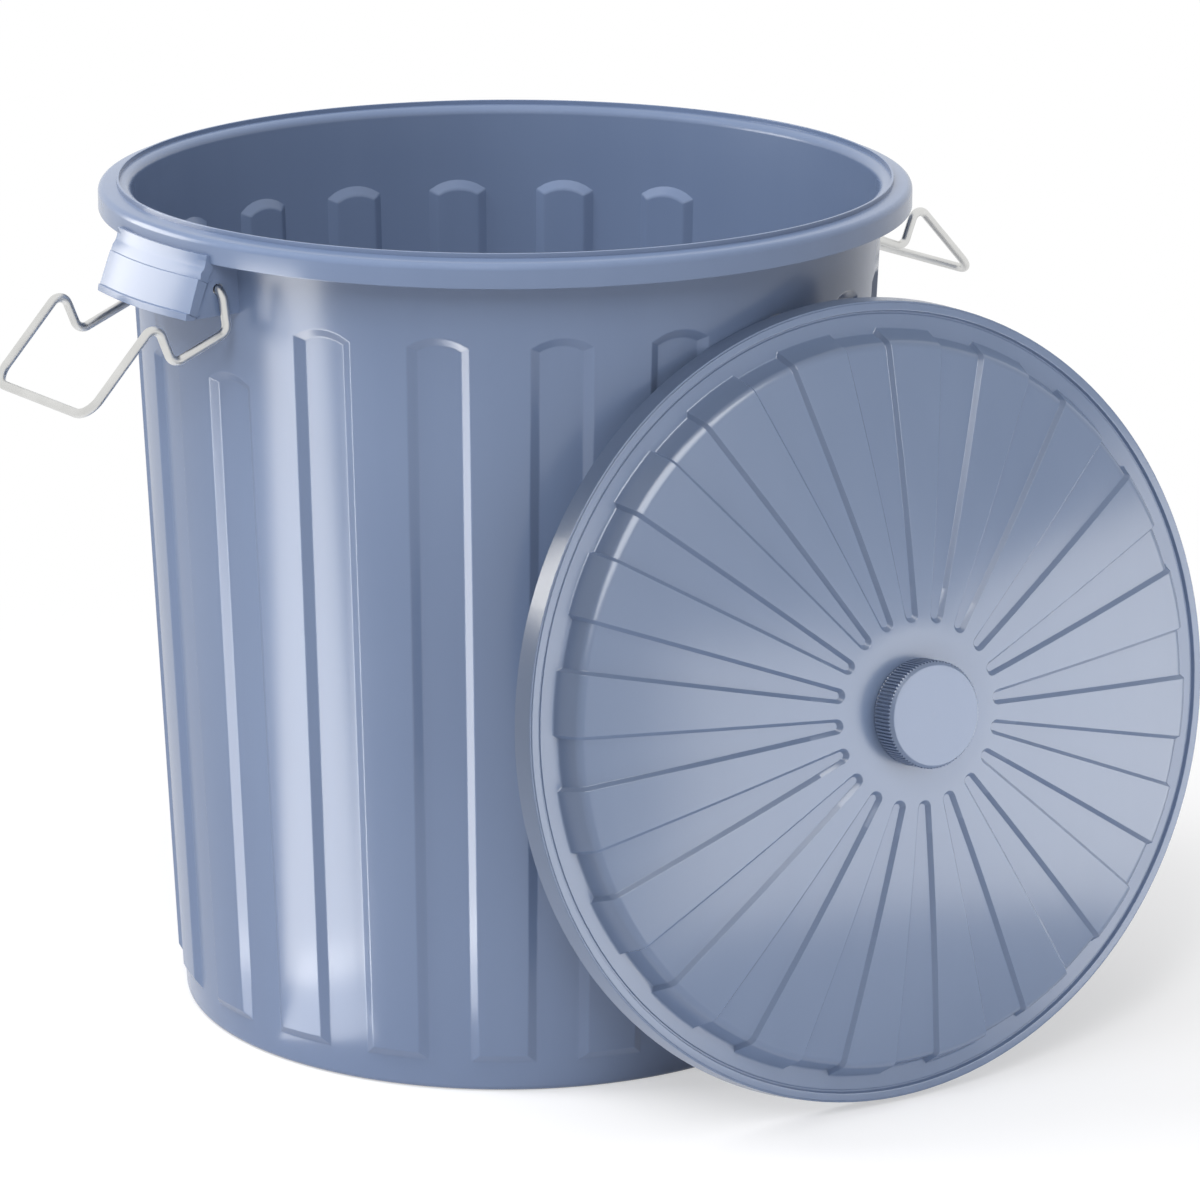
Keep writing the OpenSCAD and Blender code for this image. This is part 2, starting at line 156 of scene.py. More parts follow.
def set_camera():
    """Stands the camera at its azimuth round the bin, turned by its small pan, tilt and roll."""
    clear()
    bpy.ops.object.camera_add()
    camera = bpy.context.object
    camera.name = "photo_camera"
    camera.data.lens = LENS
    camera.data.sensor_width = SENSOR
    camera.data.clip_end = 30.0
    side = math.sin(CAMERA_AZIMUTH) * CAMERA_DISTANCE
    front = -math.cos(CAMERA_AZIMUTH) * CAMERA_DISTANCE
    turn = Matrix.Rotation(CAMERA_AZIMUTH - CAMERA_YAW, 4, "Z")
    tilt = Matrix.Rotation(math.pi / 2 - CAMERA_PITCH, 4, "X")
    roll = Matrix.Rotation(CAMERA_ROLL, 4, "Z")
    camera.matrix_world = Matrix.Translation((side, front, CAMERA_HEIGHT)) @ turn @ tilt @ roll
    bpy.context.scene.camera = camera
    return camera


camera = set_camera()
print("camera at", [round(x, 3) for x in camera.matrix_world.translation])

# %% [markdown]
# The flat strip. A grid primitive has level and upright lines at even steps. Each level line is
# slid to its depth and height, taken from a profile of (radius, height) as a lathe would follow
# it, and each upright line to its place across the strip. Depth is counted back from the radius
# at which the strip will be bent.

# %% Strip and bend helpers


def strip(name, columns, profile, radius):
    """A flat strip: upright lines at the columns, level lines at the profile's (radius, height)."""
    clear()
    bpy.ops.mesh.primitive_grid_add(
        x_subdivisions=len(columns) - 1,
        y_subdivisions=len(profile) - 1,
        size=1,
    )
    piece = bpy.context.object
    piece.name = name
    piece.data.name = name
    edit(piece)
    across = len(columns)
    for place, x in enumerate(columns):
        pick("verts", lambda v: v.index % across == place)
        slide(x=x + 0.5 - place / (across - 1))
    for level, (r, z) in enumerate(profile):
        pick("verts", lambda v: v.index // across == level)
        slide(y=radius - r + 0.5 - level / (len(profile) - 1), z=z)
    return piece


def mirrored(values):
    """The values with their mirror images, in rising order."""
    return [-v for v in reversed(values) if v > 0] + list(values)


def bend(piece, radius):
    """Bends a flat strip about the upright axis, so that its reference line gets this radius."""
    only(piece)
    xs = [v.co.x for v in piece.data.vertices]
    span = max(xs) - min(xs)
    finish_with(piece, "SIMPLE_DEFORM", deform_method="BEND", deform_axis="Z", angle=span / radius)
    edit(piece)
    bpy.ops.mesh.select_all(action="SELECT")
    slide(y=-radius)
    bpy.ops.mesh.remove_doubles(threshold=0.02 * MM)


def repeat(piece, count, step):
    """Repeats a strip side by side, with its seams merged, centred on the upright axis."""
    finish_with(
        piece,
        "ARRAY",
        count=count,
        use_relative_offset=False,
        use_constant_offset=True,
        constant_offset_displace=(step, 0, 0),
        use_merge_vertices=True,
        merge_threshold=0.02 * MM,
    )
    edit(piece)
    bpy.ops.mesh.select_all(action="SELECT")
    slide(x=-step * (count - 1) / 2)


def rounded(before, corner, after, radius, steps):
    """Points of the arc that rounds a profile's corner with this radius."""
    a = (Vector(before) - Vector(corner)).normalized()
    b = (Vector(after) - Vector(corner)).normalized()
    half = a.angle(b) / 2
    reach = radius / math.tan(half)
    centre = Vector(corner) + (a + b).normalized() * radius / math.sin(half)
    start = Vector(corner) + a * reach - centre
    end = Vector(corner) + b * reach - centre
    total = start.angle_signed(end)
    points = []
    for step in range(steps + 1):
        spoke = start.copy()
        spoke.rotate(Matrix.Rotation(-total * step / steps, 2))
        points.append(tuple(centre + spoke))
    return points


# %% [markdown]
# The tub's wall is moulded with twenty flutes: shallow channels with an arched crown, between
# raised lands that stop above a foot band. One land and flute is a twentieth of the way round.
# The strip for it starts under the floor's edge, climbs the wall, and turns out and down as the
# rim. Only this lower and outer skin is modelled, and its thickness comes later.

# %% Sizes of the tub
tub_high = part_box("tub")[1]
TUB_HEIGHT = tub_high.z
RIM_R = tub_high.y
TOP_R = RIM_R - 16.5 * MM
DRAFT = 0.042
WALL = 2.4 * MM
FLUTES = 20
FLUTE_W = 34.8 * MM
FLUTE_FACE_W = 24.6 * MM
FLUTE_DEPTH = 3.5 * MM
FLUTE_DROP = 49 * MM
SHORT_FLUTE_DROP = 83 * MM
CROWN_R = 30 * MM
BAND_H = 23 * MM
BAND_SLOPE_H = 5 * MM
FOOT_R = 3.5 * MM
ROOT_Z = 460 * MM
ROOT_FILLET = 3 * MM
RIM_DROP = 17.4 * MM
RIM_FALL = 0.9 * MM
RIM_ROUND = 1.6 * MM
LEDGE_DROP = 2.7 * MM
MOUTH_R = TOP_R - WALL + 6.7 * MM
LIP_R = MOUTH_R + 1.4 * MM
print("tub:", round(TUB_HEIGHT / MM, 1), "mm high and", round(2 * RIM_R / MM, 1), "mm across its rim")


def wall_r(z):
    """Radius of the wall's raised lands at this height."""
    return TOP_R - DRAFT * (TUB_HEIGHT - z)


# %% Profile of the tub's outer skin
foot_r = wall_r(0) - FLUTE_DEPTH
crown_z = TUB_HEIGHT - FLUTE_DROP
face_crown_r = CROWN_R - (FLUTE_W - FLUTE_FACE_W) / 2
face_side_z = crown_z - CROWN_R + math.sqrt(face_crown_r**2 - (FLUTE_FACE_W / 2) ** 2)
side_z = crown_z - CROWN_R + math.sqrt(CROWN_R**2 - (FLUTE_W / 2) ** 2)
under_z = TUB_HEIGHT - LEDGE_DROP - WALL
skin_r = RIM_R - WALL
rim_low = TUB_HEIGHT - RIM_DROP
foot = rounded((0.1, 0), (foot_r, 0), (foot_r, 0.1), FOOT_R, 4)
band = [
    (wall_r(BAND_H - BAND_SLOPE_H) - FLUTE_DEPTH, BAND_H - BAND_SLOPE_H),
    (wall_r(BAND_H), BAND_H),
]
crown = [(wall_r(z), z) for z in (face_side_z, side_z, crown_z + 10 * MM)]
root = rounded((wall_r(ROOT_Z), ROOT_Z), (wall_r(under_z), under_z), (RIM_R, under_z), ROOT_FILLET, 3)
shoulder = rounded((LIP_R, under_z), (skin_r, under_z - RIM_FALL), (skin_r, rim_low), RIM_ROUND, 5)
ledge = [(MOUTH_R, under_z), (LIP_R, under_z)]
tub_profile = foot + band + crown + root + ledge + shoulder + [(skin_r, rim_low)]
level = {
    "slope": len(foot),
    "land": len(foot) + 1,
    "face": len(foot) + 2,
    "arch": len(foot) + 3,
}
print("tub profile has", len(tub_profile), "points; flute crown at", round(crown_z, 4))

# %% [markdown]
# The flute is pressed into the strip as a thumb would press it: the lines of its flat face go
# back by its depth, which leaves sloping sides. Its top lines are lifted into an arch, the four
# corners get a mitre edge, and a bevel rounds every crease as the mould does. Upright lines are
# counted from the strip's centre: so many reach the edge of the face, and so many the outline.

# %% One flute, flat
FACE_REACH = 3
OUTLINE_REACH = 4
LAND_LINE = 0.38
pitch = 2 * math.pi * TOP_R / FLUTES
half_face = FLUTE_FACE_W / 2
half_flute = FLUTE_W / 2
face_columns = [half_face * step / FACE_REACH for step in range(FACE_REACH + 1)]
tub_columns = mirrored(face_columns + [half_flute, pitch * LAND_LINE, pitch / 2])
wall = strip("tub_shell", tub_columns, tub_profile, TOP_R)
across = len(tub_columns)
centre_column = across // 2


def on(vertex, row, reach):
    """True for a vertex of this level line within so many upright lines of the strip's centre."""
    return vertex.index // across == row and abs(vertex.index % across - centre_column) <= reach


for row in (level["land"], level["face"]):
    pick("verts", lambda v: on(v, row, FACE_REACH))
    slide(y=FLUTE_DEPTH)
for row in range(level["arch"] + 1):
    z = tub_profile[row][1]
    pick("verts", lambda v: on(v, row, OUTLINE_REACH))
    stretch(x=TOP_R / wall_r(z))
for row, reach, arch_r in (
    (level["face"], FACE_REACH, face_crown_r),
    (level["arch"], OUTLINE_REACH, CROWN_R),
):
    z = tub_profile[row][1]
    for column in range(centre_column - reach + 1, centre_column + reach):
        x = tub_columns[column]
        lift = crown_z - CROWN_R + math.sqrt(arch_r**2 - x**2) - z
        pick("verts", lambda v: v.index == row * across + column)
        slide(y=-DRAFT * lift, z=lift)
for side in (-1, 1):
    for face_row, outline_row in ((level["face"], level["arch"]), (level["slope"], level["land"])):
        ends = [
            face_row * across + centre_column + side * FACE_REACH,
            outline_row * across + centre_column + side * OUTLINE_REACH,
        ]
        pick("verts", lambda v: v.index in ends)
        bpy.ops.mesh.vert_connect_path()


def creased(edge, least):
    """True where an edge's two faces turn by more than this angle."""
    return len(edge.link_faces) == 2 and edge.calc_face_angle() > least


flute_low = 15 * MM
flute_high = crown_z + 5 * MM
creases = pick(
    "edges",
    lambda e: flute_low < middle(e).z < flute_high and creased(e, math.radians(12)),
)
bpy.ops.mesh.bevel(offset=0.7 * MM, segments=2, affect="EDGES", clamp_overlap=True)
print("creases rounded on one flute:", creases)

# %% [markdown]
# Twenty copies make the wall. Two flutes lie below each lug, a quarter of the way round from the
# front, and are shorter. Their crowns are slid down along the sloping wall while the strip is
# still flat. Then the strip is bent.

# %% The ring of the wall
repeat(wall, FLUTES, pitch)
quarter = FLUTES / 4 * pitch
short_at = [side * quarter + step for side in (-1, 1) for step in (-pitch / 2, pitch / 2)]
drop = SHORT_FLUTE_DROP - FLUTE_DROP
low_crown = face_side_z - 4 * MM
shortened = pick(
    "verts",
    lambda v: low_crown < v.co.z < flute_high
    and min(abs(v.co.x - x) for x in short_at) < half_flute + 2 * MM,
)
slide(y=DRAFT * drop, z=-drop)
bend(wall, TOP_R)
print("vertices slid down for the four short flutes:", shortened)

# %% [markdown]
# The floor closes the foot: its edge is drawn in ring by ring and merged at the centre. The skin
# then gets its wall thickness towards the inside, which also raises the top of the rim. Last,
# the lip that the lid drops over is drawn up out of the rim.

# %% Floor, thickness and lip
edit(wall)
pick("edges", lambda e: e.is_boundary and middle(e).z < 1 * MM)
for share in (0.8, 0.4, 0.25):
    bpy.ops.mesh.extrude_edges_move()
    stretch(x=share, y=share)
bpy.ops.mesh.extrude_edges_move()
bpy.ops.mesh.merge(type="CENTER")


def face_outwards(piece, test):
    """Makes the normals of an open skin agree, with the faces that pass the test facing out."""
    edit(piece)
    bpy.ops.mesh.select_all(action="SELECT")
    bpy.ops.mesh.normals_make_consistent(inside=False)
    mesh = bmesh.from_edit_mesh(piece.data)
    mesh.normal_update()
    turned = sum(1 if f.normal.dot(f.calc_center_median()) < 0 else -1 for f in mesh.faces if test(f))
    if turned > 0:
        bpy.ops.mesh.select_all(action="SELECT")
        bpy.ops.mesh.flip_normals()


face_outwards(wall, lambda f: 0.1 < f.calc_center_median().z < 0.4)
finish_with(wall, "SOLIDIFY", thickness=WALL, offset=-1, use_even_offset=True, use_rim=True)
edit(wall)
seat_z = under_z + WALL
lip_faces = pick(
    "faces",
    lambda f: f.normal.z > 0.9
    and f.calc_center_median().z > seat_z - 0.5 * MM
    and MOUTH_R < radius_of(f.calc_center_median()) < LIP_R,
)
bpy.ops.mesh.extrude_region_move()
slide(z=TUB_HEIGHT - seat_z)
pick("edges", lambda e: middle(e).z > TUB_HEIGHT - 0.1 * MM and creased(e, math.radians(50)))
bpy.ops.mesh.bevel(offset=0.4 * MM, segments=2, affect="EDGES")
pick("edges", lambda e: middle(e).z < rim_low + 0.1 * MM and radius_of(middle(e)) > skin_r - 1 * MM)
bpy.ops.mesh.bevel(offset=0.8 * MM, segments=2, affect="EDGES")
print("faces of the lip:", lip_faces, "; tub faces:", len(bmesh.from_edit_mesh(wall.data).faces))

# %% [markdown]
# A lug is the hollow box under the rim that carries one handle. Its face flows out of the rim in
# a smooth neck, steps out at a plain line, and slopes to a lip at its lower edge. Its two side
# walls are flat and upright, so each level line of the strip is as wide as they need at its own
# radius. They lie a little further in than the face's own edge, which stands proud like a plate.
# The strip is the lug's inner skin here: its thickness is laid on outside, and the pocket behind
# stays open below.

# %% Sizes of the lugs
LUG_HALF = 44.5 * MM
LUG_TOP_DROP = 22.5 * MM
LUG_DROP = 47 * MM
LUG_TOP_OUT = 20 * MM
LUG_FOOT_OUT = 30 * MM
LUG_PLATE_STEP = 0.7 * MM
HINGE_R = TOP_R + 6.7 * MM
HINGE_Z = TUB_HEIGHT - 32 * MM
BOSS_R = 6.6 * MM
BOSS_LEN = 5 * MM
BOSS_H = 0.8 * MM
BOSS_EDGE_W = 1.3 * MM
BOSS_STEP_W = 0.4 * MM
BOSS_STEP_H = 0.5 * MM
HOLE_R = 3.3 * MM
lug_top_z = TUB_HEIGHT - LUG_TOP_DROP
lug_low_z = TUB_HEIGHT - LUG_DROP
lug_top_r = TOP_R + LUG_TOP_OUT
lug_foot_r = TOP_R + LUG_FOOT_OUT
lug_profile = [
    (lug_foot_r, lug_low_z),
    (lug_foot_r - 0.3 * MM, lug_low_z + 2.2 * MM),
    (lug_foot_r - 1.2 * MM, lug_low_z + 2.5 * MM),
    (lug_top_r + 2.0 * MM, lug_top_z - 4.0 * MM),
    (lug_top_r + 1.3 * MM, lug_top_z - 3.7 * MM),
    (lug_top_r, lug_top_z),
    (lug_top_r - 1.6 * MM, lug_top_z + 2.0 * MM),
    (RIM_R + 0.9 * MM, lug_top_z + 4.5 * MM),
    (RIM_R + 0.3 * MM, lug_top_z + 7.0 * MM),
    (RIM_R - 0.2 * MM, lug_top_z + 10 * MM),
]
print("lug's inner skin:", round(2 * LUG_HALF / MM, 1), "mm wide, hinge", round(HINGE_Z / MM, 1), "mm up")

# %% One lug
LUG_STEPS = 8
LUG_SIDE_RUN = ((0, 2.2 * MM), (LUG_PLATE_STEP, 0.3 * MM), (0, 5.5 * MM), (0, 10 * MM))


def lug_side_x(row):
    """Half width across the strip that puts a level line's end on the flat side wall."""
    return TOP_R * math.asin(LUG_HALF / lug_profile[row][0])


lug_columns = [lug_side_x(0) * step / LUG_STEPS for step in range(-LUG_STEPS, LUG_STEPS + 1)]
lug = strip("lug", lug_columns, lug_profile, TOP_R)
for row in range(1, len(lug_profile)):
    pick("verts", lambda v: v.index // len(lug_columns) == row)
    stretch(x=lug_side_x(row) / lug_side_x(0))
bend(lug, TOP_R)
face_edge = LUG_HALF - 0.1 * MM
side_edge = face_edge - LUG_PLATE_STEP
run_back = sum(back_by for inwards, back_by in LUG_SIDE_RUN)
for side in (-1, 1):
    pick("edges", lambda e: e.is_boundary and min(side * v.co.x for v in e.verts) > face_edge)
    for inwards, back_by in LUG_SIDE_RUN:
        bpy.ops.mesh.extrude_edges_move()
        slide(x=-side * inwards, y=back_by)
    for r, z in lug_profile:
        back = -math.sqrt((wall_r(z) - WALL / 2) ** 2 - LUG_HALF**2)
        start = run_back - math.sqrt(r**2 - LUG_HALF**2)
        pick(
            "verts",
            lambda v: side * v.co.x > side_edge
            and abs(v.co.y - start) < 0.2 * MM
            and abs(v.co.z - z) < 0.01 * MM,
        )
        slide(y=back - start)
face_outwards(lug, lambda f: f.calc_center_median().y < -HINGE_R - 8 * MM)
finish_with(lug, "SOLIDIFY", thickness=WALL, offset=1, use_even_offset=True, use_rim=True)
edit(lug)
pick(
    "edges",
    lambda e: creased(e, math.radians(50))
    and middle(e).y < -wall_r(lug_top_z)
    and middle(e).z < lug_top_z + 8 * MM,
)
bpy.ops.mesh.bevel(offset=0.6 * MM, segments=2, affect="EDGES", clamp_overlap=True)
print("lug faces:", len(bmesh.from_edit_mesh(lug.data).faces))

# %% [markdown]
# Each side wall has a long boss round the hinge hole: a short cylinder, parted in the middle and
# drawn out along the wall, with a ring left round its edge by an inset face. It stands on the
# inner skin, so the wall's own thickness covers it and only the hole shows. The hole is cut right
# through walls and bosses with a Boolean.

# %% Bosses and hinge holes


def boss(side):
    """A long boss on one side wall of the lug, with a ring round its face."""
    clear()
    bpy.ops.mesh.primitive_cylinder_add(
        vertices=48,
        radius=BOSS_R,
        depth=2 * BOSS_H,
        rotation=(0, side * math.pi / 2, 0),
        location=(side * LUG_HALF, -HINGE_R, HINGE_Z),
    )
    piece = bpy.context.object
    bpy.ops.object.transform_apply(location=True, rotation=True, scale=True)
    edit(piece)
    for end in (-1, 1):
        pick("verts", lambda v: end * (v.co.y + HINGE_R) > 0.05 * MM)
        slide(y=end * BOSS_LEN / 2)
    pick("faces", lambda f: side * f.normal.x > 0.9)
    bpy.ops.mesh.inset(thickness=BOSS_EDGE_W)
    bpy.ops.mesh.inset(thickness=BOSS_STEP_W, depth=-BOSS_STEP_H)
    ring_x = LUG_HALF + BOSS_H - 0.05 * MM
    pick("edges", lambda e: side * middle(e).x > ring_x and creased(e, math.radians(40)))
    bpy.ops.mesh.bevel(offset=0.25 * MM, segments=2, affect="EDGES")
    only(piece)
    return piece


def cut_hole(piece, tool):
    """Cuts the tool out of the piece and removes the tool."""
    finish_with(piece, "BOOLEAN", operation="DIFFERENCE", object=tool, solver="EXACT")
    bpy.data.objects.remove(tool)


def hinge_drill(length):
    """A plain bar along the hinge line, to cut the hole with."""
    clear()
    bpy.ops.mesh.primitive_cylinder_add(
        vertices=48,
        radius=HOLE_R,
        depth=length,
        rotation=(0, math.pi / 2, 0),
        location=(0, -HINGE_R, HINGE_Z),
    )
    drill = bpy.context.object
    bpy.ops.object.transform_apply(location=True, rotation=True, scale=True)
    return drill


lug_parts = [lug, boss(-1), boss(1)]
for part in lug_parts:
    cut_hole(part, hinge_drill(2 * LUG_HALF + 10 * MM))
only(lug)
for part in lug_parts:
    part.select_set(True)
bpy.ops.object.join()
print("lug with bosses:", len(lug.data.polygons), "faces")

# %% [markdown]
# The lug was modelled at the front. It is turned to the right side and a copy to the left, and
# both are joined to the tub, which is one moulding.

# %% Both lugs on the tub


def turn_about_axis(piece, angle):
    """Turns a piece about the bin's upright axis and leaves its object unturned."""
    only(piece)
    piece.rotation_euler.z = angle
    bpy.ops.object.transform_apply(location=False, rotation=True, scale=False)


only(lug)
bpy.ops.object.duplicate()
left_lug = bpy.context.object
turn_about_axis(lug, math.pi / 2)
turn_about_axis(left_lug, -math.pi / 2)
only(wall)
lug.select_set(True)
left_lug.select_set(True)
bpy.ops.object.join()
print("tub shell:", len(wall.data.polygons), "faces")

# %% [markdown]
# The lid is shaped the same way, although it is nearly flat: the strip runs from the skirt's edge
# over the bead, the gutter and the domed plateau to the hub in the middle, and the bend draws
# its far end together. One strip holds one finger, a channel that narrows towards the centre
# and ends in a round tip.

# %% Sizes of the lid
SKIRT_R = LIP_R + 2.6 * MM
SKIRT_H = 14 * MM
SKIRT_FLARE = 1.6 * MM
BEAD_W = 5 * MM
BEAD_H = 1.6 * MM
BEAD_STEP = 0.8 * MM
GROOVE = 0.6 * MM
GUTTER_W = 8.6 * MM
GUTTER_FILLET = 1.2 * MM
PLATEAU_H = 15.5 * MM
PLATEAU_RUN = 7.6 * MM
PLATEAU_EDGE_R = 6.5 * MM
DOME_RISE = 25 * MM
DOME_BULGE = 1.6 * MM
DISC_R = 47 * MM
FINGERS = 20
FINGER_DEPTH = 2.8 * MM
FINGER_TIP_R = 4.3 * MM
FINGER_W = 30 * MM
FINGER_INSET = 3 * MM
FINGER_TOP_INSET = 0.8 * MM
FINGER_SLOPE = 2.1 * MM
HUB_R = 26.7 * MM
HUB_H = 14.2 * MM
LID_WALL = 2 * MM
bead_r = SKIRT_R - SKIRT_FLARE
bead_z = SKIRT_H + 0.6 * MM
gutter_z = bead_z - BEAD_H
crease_r = bead_r - BEAD_W - 1.4 * MM
side_r = crease_r - GUTTER_W
plateau_r = side_r - PLATEAU_RUN
plateau_z = gutter_z + PLATEAU_H
disc_z = plateau_z + DOME_RISE
tip_r = DISC_R + 3 * MM + FINGER_TIP_R
print("lid:", round(2 * SKIRT_R / MM, 1), "mm across, its disc", round(disc_z / MM, 1), "mm up")


def dome_z(r):
    """Height of the domed plateau at this radius."""
    inward = min(1, max(0, (plateau_r - 1 * MM - r) / (plateau_r - 1 * MM - DISC_R)))
    return plateau_z + DOME_RISE * inward + DOME_BULGE * math.sin(math.pi * inward)


def finger_half(r):
    """Half the width of a finger at this radius, outside its tip."""
    grow = (FINGER_W / 2 - FINGER_TIP_R) / (plateau_r - tip_r)
    return FINGER_TIP_R + grow * (r - tip_r)


# %% Profile of the lid's outer skin
step_at = (bead_r + 0.1 * MM, bead_z - BEAD_STEP)
bead = rounded((SKIRT_R, 0), step_at, (bead_r - 4 * MM, step_at[1]), 0.5 * MM, 2)
bead_foot = (bead_r - 0.8 * MM, step_at[1])
bead += [bead_foot]
bead += rounded(bead_foot, (bead_r - 1.1 * MM, bead_z), (bead_r - 4 * MM, bead_z), 0.3 * MM, 2)
bead += rounded((bead_r, bead_z), (bead_r - BEAD_W, bead_z), (crease_r, gutter_z - GROOVE), 0.6 * MM, 2)
bead += [(crease_r + 0.5 * MM, gutter_z - GROOVE), (crease_r - 0.2 * MM, gutter_z - GROOVE)]
side = rounded((crease_r, gutter_z), (side_r, gutter_z), (plateau_r, plateau_z), GUTTER_FILLET, 3)
inland_r = 150 * MM
edge = rounded((side_r, gutter_z), (plateau_r, plateau_z), (inland_r, dome_z(inland_r)), PLATEAU_EDGE_R, 6)
dome = [(r * MM, dome_z(r * MM)) for r in (188, 170, inland_r / MM, 130, 110, 90, 70)]
tip = [(tip_r, dome_z(tip_r)), (tip_r - 0.6 * MM, dome_z(tip_r - 0.6 * MM))]
disc = [(DISC_R, disc_z), (DISC_R - 4 * MM, disc_z), (HUB_R + 3 * MM, disc_z)]
hub = rounded((DISC_R, disc_z), (HUB_R, disc_z), (HUB_R, disc_z + HUB_H), 1 * MM, 2)
hub += rounded((HUB_R, disc_z), (HUB_R, disc_z + HUB_H), (0, disc_z + HUB_H), 1 * MM, 2)
hub += [(8 * MM, disc_z + HUB_H), (1.5 * MM, disc_z + HUB_H)]
gutter = [(crease_r - 0.8 * MM, gutter_z)]
lid_profile = [(SKIRT_R, 0)] + bead + gutter + side + edge + dome + tip + disc + hub
first_side = 2 + len(bead)
first_edge = first_side + len(side)
first_dome = first_edge + len(edge)
face_tip = first_dome + len(dome)
outline_tip = face_tip + 1
face_foot = (side_r - FINGER_INSET, gutter_z)
face_brow = (plateau_r - FINGER_TOP_INSET, plateau_z - FINGER_DEPTH)
face_inland = (inland_r, dome_z(inland_r) - FINGER_DEPTH)
face_profile = list(lid_profile)
face_side = rounded((crease_r, gutter_z), face_foot, face_brow, GUTTER_FILLET, 3)
face_profile[first_side:first_edge] = face_side
face_profile[first_edge:first_dome] = rounded(face_foot, face_brow, face_inland, PLATEAU_EDGE_R, 6)
face_profile[first_dome:face_tip] = [(r, z - FINGER_DEPTH) for r, z in dome]
print("lid profile has", len(lid_profile), "points")

# %% One finger, flat
LID_STEPS = 6
lid_pitch = 2 * math.pi * SKIRT_R / FINGERS
lid_columns = mirrored([lid_pitch / 2 * step / LID_STEPS for step in range(LID_STEPS + 1)])
lid = strip("lid_shell", lid_columns, lid_profile, SKIRT_R)
lid_across = len(lid_columns)
lid_centre = LID_STEPS


def put(row, column, x, r, z):
    """Slides one crossing of the open lid strip to a real width, radius and height."""
    index = row * lid_across + lid_centre + column
    mesh = bmesh.from_edit_mesh(bpy.context.edit_object.data)
    mesh.verts.ensure_lookup_table()
    here = mesh.verts[index].co.copy()
    pick("verts", lambda v: v.index == index)
    slide(x=x * SKIRT_R / r - here.x, y=SKIRT_R - r - here.y, z=z - here.z)


for row, (r, z) in enumerate(lid_profile):
    held = max(tip_r, min(r, side_r))
    half = finger_half(held) * r / held
    face = (finger_half(held) - FINGER_SLOPE) * r / held
    pad_edge = math.pi * r / FINGERS
    for column in range(-LID_STEPS, LID_STEPS + 1):
        turned = -1 if column < 0 else 1
        place = abs(column)
        if place <= FACE_REACH:
            put(row, column, turned * face * place / FACE_REACH, *face_profile[row])
        elif place == OUTLINE_REACH:
            put(row, column, turned * half, r, z)
        elif place < LID_STEPS:
            put(row, column, turned * (half + pad_edge) / 2, r, z)
for row, reach, end_r, degrees, sunk in (
    (face_tip, FACE_REACH, FINGER_TIP_R - FINGER_SLOPE, 30, FINGER_DEPTH),
    (outline_tip, OUTLINE_REACH, FINGER_TIP_R, 20, 0),
):
    for column in range(-reach, reach + 1):
        swing = math.radians(degrees * column)
        r = tip_r - end_r * math.cos(swing)
        put(row, column, end_r * math.sin(swing), r, dome_z(r) - sunk)
finger_creases = pick(
    "edges",
    lambda e: SKIRT_R - side_r + 0.5 * MM < middle(e).y < SKIRT_R - DISC_R and creased(e, math.radians(24)),
)
bpy.ops.mesh.bevel(offset=0.6 * MM, segments=3, affect="EDGES", clamp_overlap=True)
print("creases rounded on one finger:", finger_creases)

# %% [markdown]
# Twenty fingers are set side by side and bent into the lid. The hub is closed at its centre, the
# skin gets its thickness downwards, and the skirt's edge is eased.

# %% The whole lid
repeat(lid, FINGERS, lid_pitch)
bend(lid, SKIRT_R)
pick("verts", lambda v: radius_of(v.co) < 3 * MM)
bpy.ops.mesh.merge(type="CENTER")
face_outwards(lid, lambda f: 60 * MM < radius_of(f.calc_center_median()) < 190 * MM)
finish_with(lid, "SOLIDIFY", thickness=LID_WALL, offset=-1, use_even_offset=True, use_rim=True)
edit(lid)
pick("edges", lambda e: middle(e).z < 0.2 * MM and creased(e, math.radians(50)))
bpy.ops.mesh.bevel(offset=0.6 * MM, segments=2, affect="EDGES")
print("lid faces:", len(bmesh.from_edit_mesh(lid.data).faces))

# %% [markdown]
# The lid was modelled lying flat. The frame says where it stands: the knob's joint gives a point
# on the lid's axis and the way it faces.

# %% Lean the lid against the tub
facing = Vector(joints["knob_turn"]["axis"]).normalized()
level_way = Vector((0, 0, 1)).cross(facing).normalized()
lid_place = Matrix.Translation(joints["knob_turn"]["pos_m"]) @ Matrix(
    (level_way, facing.cross(level_way), facing)
).transposed().to_4x4()


def stand_at(piece, matrix):
    """Carries a piece to its place and leaves its object at the origin, unturned."""
    only(piece)
    piece.matrix_world = matrix
    bpy.ops.object.transform_apply(location=True, rotation=True, scale=True)


half_finger = Matrix.Rotation(math.pi / FINGERS, 4, "Z")
stand_at(lid, lid_place @ half_finger)
print("lid leans back by", round(math.degrees(math.asin(facing.z)), 2), "degrees")

# %% [markdown]
# The knob is a screw cap with fine ribs for the fingers. Its profile is a closed one, up the
# inside and back over the outside, so it needs no thickness later. One rib is pressed out of a
# narrow strip, and 88 of them are bent into the cap.

# %% Sizes of the knob
KNOB_R = 30 * MM
KNOB_H = 16.5 * MM
KNOB_RIBS = 88
KNOB_RIB_DEPTH = 0.9 * MM
KNOB_COLLAR = 2.0 * MM
KNOB_COLLAR_H = 2.6 * MM
KNOB_WALL = 2.2 * MM
KNOB_GAP = 0.3 * MM
KNOB_CLEAR = 0.4 * MM
knob_foot_z = disc_z + KNOB_GAP
print("knob:", round(2 * KNOB_R / MM, 1), "mm across and", round(KNOB_H / MM, 1), "mm high")

